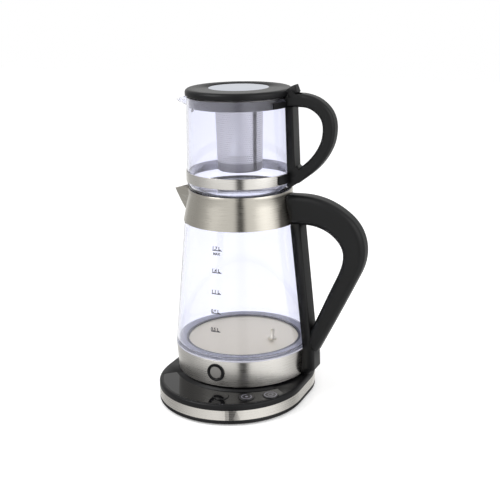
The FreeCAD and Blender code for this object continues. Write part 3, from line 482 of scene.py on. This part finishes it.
# Kettle glass: blown borosilicate, clear with a faint cool tint and long shallow waves. It is
# ground flat at its foot and turned in there as a floor ring.
wave_mm = 40.0
wave_bump, wave_depth_mm = 0.03, 0.2
wall = 2.6
floor_t = 3.0
floor_r = 65.5
shoulder_r = 63.0
neck_r = 60.6
shoulder_drop = 1.5
neck_rise = 0.5
inner_drop = 1.0
glass_edge = 1.2
glass_edge_steps = 5
glass_steps = 160
borosilicate, tree, shader = material("clear_borosilicate", "#f3f4fd", metal=0.0, rough=0.0,
                                      IOR=1.47, Transmission_Weight=1.0)
coords = put(tree, "ShaderNodeTexCoord").outputs["Object"]
noise = put(tree, "ShaderNodeTexNoise", Vector=coords, Scale=1 / (wave_mm * MM), Detail=1.0)
wave = put(tree, "ShaderNodeBump", Strength=wave_bump, Distance=wave_depth_mm * MM, Height=noise)
tree.links.new(wave.outputs[0], shader.inputs["Normal"])
glass_low, glass_high, foot_r = span("kettle_glass")
collar_low = span("kettle_collar")[0]
shoulder_z = collar_low - shoulder_drop
outline = soften([
    (floor_r, glass_low), (foot_r, glass_low), (shoulder_r, shoulder_z), (neck_r, collar_low + neck_rise),
    (neck_r, glass_high), (neck_r - wall, glass_high), (neck_r - wall, collar_low),
    (shoulder_r - wall, shoulder_z - inner_drop), (foot_r - wall, glass_low + floor_t),
    (floor_r, glass_low + floor_t)], glass_edge, glass_edge_steps)
turned_piece("kettle_glass_body", "kettle_glass", outline, borosilicate, "kettle", "glass", glass_steps)

# Floor band: a pale enamel ring fired under the glass floor. It hides the gasket and the element
# chamber, and reads as the light ring round the heating plate.
band_inset, band_outset = 0.8, 0.3
floor_band_steps = 128
pale_enamel, tree, shader = material("fired_pale_enamel", "#dcdce6", metal=0.0, rough=0.4)
vary(tree, shader, grain_mm=1.111, dark="#d4d4df", pale="#e3e3ec",
     rough_low=0.35, rough_high=0.48, bump=0.02, depth_mm=0.01)
band = flat_ring("glass_floor_band", Vector((axis_x, axis_y, 0)), foot_r - band_inset,
                 floor_r + band_outset, glass_low, 0, 360, pale_enamel, floor_band_steps)
finish(band, "kettle", "glass")

# Level marks: fired grey enamel on the glass, slightly rough, as figures in litres with a line
# under each. They stand a tenth of a millimetre off the glass, so that the two don't mix.
levels = (("1.7 L", 179.0), ("1.4 L", 155.0), ("1.1 L", 132.0), ("0.8 L", 110.5), ("0.5 L", 90.5))
word_z = 173.4
word_height = 3.75
mark_height = 5.0
figure_shift, word_shift = -1.0, -0.5
stroke_t = 0.03
stroke_grow = 0.14
line_long, line_thick, line_t = 11.0, 0.9, 0.06
line_drop = 1.1
line_cuts = 12
proud = 0.12
enamel, tree, shader = material("fired_grey_enamel", "#2e2e33", metal=0.0, rough=0.5)
vary(tree, shader, grain_mm=0.4, dark="#28282d", pale="#37373c",
     rough_low=0.45, rough_high=0.6, bump=0.02, depth_mm=0.01)


def on_glass(mesh, z, shift):
    """Wrap a flat mesh in mm round the front of the glass at a height."""
    for vertex in mesh.vertices:
        x, up, out = vertex.co
        level = z + up
        part_up = (level - glass_low) / (shoulder_z - glass_low)
        r = foot_r + (shoulder_r - foot_r) * part_up + proud + out
        a = (x + shift) / r
        vertex.co = spot(r * math.sin(a), -r * math.cos(a), level)


def plain_mesh(made):
    """The mesh that an object gives when it is worked out; the object itself is removed."""
    bpy.context.view_layer.update()
    graph = bpy.context.evaluated_depsgraph_get()
    mesh = bpy.data.meshes.new_from_object(made.evaluated_get(graph))
    made.modifiers.clear()
    bpy.data.objects.remove(made)
    return mesh


def words(name, text, size, z, shift):
    """Finish a line of enamel letters on the glass."""
    curve = bpy.data.curves.new(name, "FONT")
    curve.body = text
    curve.size = size
    curve.align_x = "CENTER"
    curve.extrude = stroke_t
    curve.offset = stroke_grow
    text_object = bpy.data.objects.new(name, curve)
    bpy.context.collection.objects.link(text_object)
    mesh = plain_mesh(text_object)
    on_glass(mesh, z, shift)
    finish(new_piece(name, mesh, enamel), "kettle", "glass")


def mark_line(name, z):
    """Finish the short level line under a figure."""
    low, high = -line_drop, line_thick - line_drop
    points = []
    for k in range(line_cuts + 1):
        x = line_long * (k / line_cuts - 0.5)
        points += [(x, low, 0.0), (x, high, 0.0), (x, high, line_t), (x, low, line_t)]
    faces = []
    for k in range(line_cuts):
        for j in range(4):
            n = (j + 1) % 4
            faces.append((4 * k + j, 4 * k + n, 4 * k + 4 + n, 4 * k + 4 + j))
    faces += [(3, 2, 1, 0), tuple(4 * line_cuts + j for j in range(4))]
    mesh = bpy.data.meshes.new(name)
    mesh.from_pydata(points, [], faces)
    on_glass(mesh, z, 0.0)
    finish(new_piece(name, mesh, enamel), "kettle", "glass")


for number, (litres, z) in enumerate(levels):
    words(f"level_figure_{number}", litres, mark_height, z, figure_shift)
    mark_line(f"level_line_{number}", z)
words("level_max", "MAX", word_height, word_z, word_shift)

# Front button: a turned steel cap in a black bezel, sprung, that presses a switch behind the ring.
# The turned face is duller and darker than the brushed sheet.
button_steel = brushed("turned_steel_button", "#a6a4a1", dark="#949290", rough=0.4, line_mm=0.35)
dress("front_button_cap", "front_button", button_steel, "front_button", "brushed_steel")
dress("button_bezel_ring", "button_bezel", moulded_abs, "kettle", "black_plastic")

# Collar: a spun steel cone with a rolled lip and a V spout folded out of the same sheet. It has
# the same level brushing as the ring, and its steel is painted a shade greyer than the ring's:
# painted shade, as the cone leans back from the light.
shaded_collar_steel = brushed("shaded_brushed_stainless_collar", "#d6d2c9", dark="#bbb6ac", rough=0.29, line_mm=0.5)
dress("kettle_collar_steel", "kettle_collar", shaded_collar_steel, "kettle", "brushed_steel", crease=25)

# Seals: milky food-grade silicone, a little clear and soft in its shine, between glass and steel,
# under the teapot and round the lid.
milky_silicone, tree, shader = material("milky_silicone", "#d3d4da", metal=0.0, rough=0.4,
                                        IOR=1.41, Transmission_Weight=0.3)
vary(tree, shader, grain_mm=2.5, dark="#cacbd1", pale="#dcdde2",
     rough_low=0.35, rough_high=0.48, bump=0.03, depth_mm=0.03)
for node, body in (("collar_seal", "kettle"), ("teapot_seat", "seat"), ("lid_seal", "lid")):
    dress(node + "_ring", node, milky_silicone, body, "silicone")

# Handles: the arched grip, the straight bar beside the glass and the teapot's loop are black
# glass-filled nylon. Its spark-eroded texture makes it a shade duller than the base. The texture
# is drawn at 0.9 mm so that it shows. The two clips at the teapot are moulded ABS.
handle_nylon, tree, shader = material("spark_textured_black_nylon", "#131314", metal=0.0, rough=0.42,
                                      IOR=1.53, Specular_IOR_Level=0.26)
vary(tree, shader, grain_mm=0.9, dark="#101011", pale="#191a1b",
     rough_low=0.38, rough_high=0.5, bump=0.16, depth_mm=0.05)
for node, body in (("kettle_handle", "kettle"), ("handle_bar", "kettle"), ("teapot_handle", "teapot")):
    dress(node + "_moulding", node, handle_nylon, body, "black_plastic", crease=38)
for node in ("band_clamp", "handle_strap"):
    dress(node + "_clip", node, moulded_abs, "teapot", "black_plastic")

# Teapot glass: the same borosilicate, with a rounded foot and a pouring lip pulled from its rim.
dress("teapot_glass_body", "teapot_glass", borosilicate, "teapot", "glass", crease=40)

# Teapot band: a bright steel strap clamped round the glass, which carries the handle's foot.
strap_edge = 0.25
low_z, high_z, strap_r = span("teapot_band")
outline = soften([(strap_r - sheet, low_z), (strap_r, low_z), (strap_r, high_z),
                  (strap_r - sheet, high_z)], strap_edge)
turned_piece("teapot_band_strap", "teapot_band", outline, ring_steel, "teapot", "brushed_steel")

# Lid: satin black shell with a bright brushed disc let into it, and a plate below. Its tongue
# turns on the hinge pin and ends in the thumb tab.
disc_edge = 0.3
dress("lid_shell_moulding", "lid_shell", moulded_abs, "lid", "black_plastic")
dress("lid_plate_moulding", "lid_plate", moulded_abs, "lid", "black_plastic")
disc_steel = brushed("fine_brushed_lid_disc", "#dfe3ec", dark="#cdd2dd",
                     rough=0.38, line_mm=0.35, level=False)
low_z, high_z, disc_r = span("lid_disc")
outline = soften([(0.0, low_z), (disc_r, low_z), (disc_r, high_z), (0.0, high_z)], disc_edge)
turned_piece("lid_disc_inlay", "lid_disc", outline, disc_steel, "lid", "brushed_steel")

# Infuser: a pressed steel neck ring with strainer holes, a basket of perforated sheet and a
# solid cup under it. The rim and the cup are the same steel painted a darker grey than the
# sheet, as painted shade.
columns = 72
basket_t = 0.6
hole_r = 0.68
hole_sides = 12
weld_mm = 0.02
infuser_steel = brushed("pressed_stainless_infuser", "#e6e4e6", dark="#dad8da", rough=0.3, line_mm=0.5)
# The rim and cup steel is a darker copy of the infuser steel: painted shade.
shaded_rim_cup_steel = brushed("shaded_pressed_stainless", "#a3a1a4", dark="#969497", rough=0.3, line_mm=0.5)
dress("infuser_rim_steel", "infuser_rim", shaded_rim_cup_steel, "infuser", "brushed_steel")
dress("infuser_cup_steel", "infuser_base", shaded_rim_cup_steel, "infuser", "brushed_steel")
low_z, high_z, basket_r = span("infuser_basket")
cup_r = span("infuser_base")[2]
pitch = 2 * math.pi * (basket_r + cup_r) / 2 / columns
rows = round((high_z - low_z) / pitch)
row_step = (high_z - low_z) / rows


def perforated_cell(name):
    """One cell of the sheet in mm, flat in XZ, as thick along Y as the steel, with a round hole."""
    shape = bmesh.new()
    loops = []
    for depth in (0.0, -basket_t):
        rim, hole = [], []
        for k in range(hole_sides):
            a = 2 * math.pi * (k + 0.5) / hole_sides
            reach = 1 / max(abs(math.cos(a)), abs(math.sin(a)))
            rim_x = math.cos(a) * reach * pitch / 2
            rim_z = math.sin(a) * reach * row_step / 2
            rim.append(shape.verts.new((rim_x, depth, rim_z)))
            hole.append(shape.verts.new((math.cos(a) * hole_r, depth, math.sin(a) * hole_r)))
        loops.append((rim, hole))
    for k in range(hole_sides):
        n = (k + 1) % hole_sides
        for rim, hole in loops:
            shape.faces.new([rim[k], rim[n], hole[n], hole[k]])
        shape.faces.new([loops[0][1][k], loops[0][1][n], loops[1][1][n], loops[1][1][k]])
    made = bpy.data.objects.new(name, closed_mesh(name, shape))
    bpy.context.collection.objects.link(made)
    return made


def perforated_sheet():
    """Geometry Nodes: cells set out in rows as a flat sheet, joined and rolled into a cone."""
    tree = bpy.data.node_groups.new("perforated_sheet", "GeometryNodeTree")
    inputs = [("Geometry", "Geometry", None), ("Cell", "Object", None), ("Steel", "Material", None),
              ("Columns", "Int", columns), ("Rows", "Int", rows),
              ("Pitch", "Float", pitch), ("Row Step", "Float", row_step),
              ("Radius Low", "Float", cup_r), ("Radius High", "Float", basket_r),
              ("Low Z", "Float", low_z)]
    for name, kind, value in inputs:
        socket = tree.interface.new_socket(name, in_out="INPUT", socket_type="NodeSocket" + kind)
        if value is not None:
            socket.default_value = value
    tree.interface.new_socket("Geometry", in_out="OUTPUT", socket_type="NodeSocketGeometry")
    given = put(tree, "NodeGroupInput").outputs
    plus = {"operation": "ADD"}
    minus = {"operation": "SUBTRACT"}
    times = {"operation": "MULTIPLY"}
    over = {"operation": "DIVIDE"}

    # Lay out one point for each cell, with every other row half a cell along.
    total = put(tree, MATH, times, n0=given["Columns"], n1=given["Rows"])
    points = put(tree, "GeometryNodeMeshLine", {"mode": "OFFSET"}, Count=total, Offset=(0.0, 0.0, 0.0))
    index = put(tree, "GeometryNodeInputIndex")
    index_middle = put(tree, MATH, plus, n0=index, n1=0.5)
    row_and_part = put(tree, MATH, over, n0=index_middle, n1=given["Columns"])
    row = put(tree, MATH, {"operation": "FLOOR"}, n0=row_and_part)
    row_start = put(tree, MATH, times, n0=row, n1=given["Columns"])
    column = put(tree, MATH, minus, n0=index, n1=row_start)
    odd_row = put(tree, MATH, {"operation": "MODULO"}, n0=row, n1=2.0)
    half_cell = put(tree, MATH, times, n0=odd_row, n1=0.5)
    shifted = put(tree, MATH, plus, n0=column, n1=half_cell)
    along = put(tree, MATH, times, n0=shifted, n1=given["Pitch"])
    row_middle = put(tree, MATH, plus, n0=row, n1=0.5)
    up = put(tree, MATH, times, n0=row_middle, n1=given["Row Step"])
    grid = put(tree, "ShaderNodeCombineXYZ", X=along, Z=up)
    laid = put(tree, "GeometryNodeSetPosition", Geometry=points, Position=grid)
    cell = put(tree, "GeometryNodeObjectInfo", Object=given["Cell"]).outputs["Geometry"]
    copies = put(tree, "GeometryNodeInstanceOnPoints", Points=laid, Instance=cell)
    real = put(tree, "GeometryNodeRealizeInstances", Geometry=copies)

    # Roll the flat sheet round the axis, wider towards its top.
    flat = put(tree, "ShaderNodeSeparateXYZ", n0=put(tree, "GeometryNodeInputPosition")).outputs
    full_turn = put(tree, MATH, times, n0=flat["X"], n1=2 * math.pi)
    flat_length = put(tree, MATH, times, n0=given["Columns"], n1=given["Pitch"])
    turn = put(tree, MATH, over, n0=full_turn, n1=flat_length)
    height = put(tree, MATH, times, n0=given["Rows"], n1=given["Row Step"])
    part_up = put(tree, MATH, over, n0=flat["Z"], n1=height)
    growth = put(tree, MATH, minus, n0=given["Radius High"], n1=given["Radius Low"])
    widen = put(tree, MATH, times, n0=part_up, n1=growth)
    outside = put(tree, MATH, plus, n0=given["Radius Low"], n1=widen)
    radius = put(tree, MATH, plus, n0=outside, n1=flat["Y"])
    cosine = put(tree, MATH, {"operation": "COSINE"}, n0=turn)
    sine = put(tree, MATH, {"operation": "SINE"}, n0=turn)
    cone_x = put(tree, MATH, times, n0=radius, n1=cosine)
    cone_y = put(tree, MATH, times, n0=radius, n1=sine)
    cone_z = put(tree, MATH, plus, n0=flat["Z"], n1=given["Low Z"])
    rolled = put(tree, "ShaderNodeCombineXYZ", X=cone_x, Y=cone_y, Z=cone_z)
    cone = put(tree, "GeometryNodeSetPosition", Geometry=real, Position=rolled)
    joined = put(tree, "GeometryNodeMergeByDistance", Geometry=cone, Distance=weld_mm)
    painted = put(tree, "GeometryNodeSetMaterial", Geometry=joined, Material=given["Steel"])
    put(tree, "NodeGroupOutput", Geometry=painted)
    return tree


cell = perforated_cell("perforated_cell")
holder = bpy.data.objects.new("perforated_holder", bpy.data.meshes.new("perforated_holder"))
bpy.context.collection.objects.link(holder)
modifier = holder.modifiers.new("perforated_sheet", "NODES")
modifier.node_group = perforated_sheet()
set_inputs = {"Cell": cell, "Steel": infuser_steel}
for item in modifier.node_group.interface.items_tree:
    if item.in_out == "INPUT" and item.name in set_inputs:
        modifier[item.identifier] = set_inputs[item.name]
sheet_mesh = plain_mesh(holder)
bpy.data.objects.remove(cell)
for vertex in sheet_mesh.vertices:
    vertex.co = spot(*vertex.co)
basket = new_piece("infuser_basket_sheet", sheet_mesh, infuser_steel)
finish(basket, "infuser", "brushed_steel", "infuser_basket")

# Inner pieces, as the solids themselves: bright plated screws, pin, spring and element sheath,
# stamped brass contacts, the green board, pale nylon parts and a rolled aluminium disc. Each is
# a little uneven in its shine. Black mouldings inside are the ABS of the base.
inner_patch_mm = 0.833
inner_spread = 0.07
zinc = material("zinc_plated_steel", "#b9bbbf", metal=1.0, rough=0.35)
brass = material("stamped_brass", "#c9a24d", metal=1.0, rough=0.3)
solder_mask = material("green_solder_mask", "#1f5a35", metal=0.0, rough=0.35)
nylon = material("natural_nylon", "#d8d5cc", metal=0.0, rough=0.5)
rolled = material("rolled_aluminium", "#c4c6c9", metal=1.0, rough=0.35)
for made, tree, shader in (zinc, brass, solder_mask, nylon, rolled):
    rough = shader.inputs["Roughness"].default_value
    uneven_shine(tree, shader, inner_patch_mm, rough - inner_spread, rough + inner_spread)
inner = {
    zinc[0]: ("base_screws", "bottom_screws", "handle_screws", "band_screw", "hinge_pin",
              "button_spring", "heating_element"),
    brass[0]: ("connector_contacts", "socket_contacts"),
    solder_mask[0]: ("control_board",),
    nylon[0]: ("key_switches", "board_posts", "buzzer", "power_relay"),
    rolled[0]: ("heat_spreader",),
    moulded_abs: ("connector_holder", "cord_clamp", "switch_bracket", "button_switch", "display_module"),
}
for look_of, nodes in inner.items():
    for node in nodes:
        data = bpy.data.objects[node].data
        data.materials.clear()
        data.materials.append(look_of)
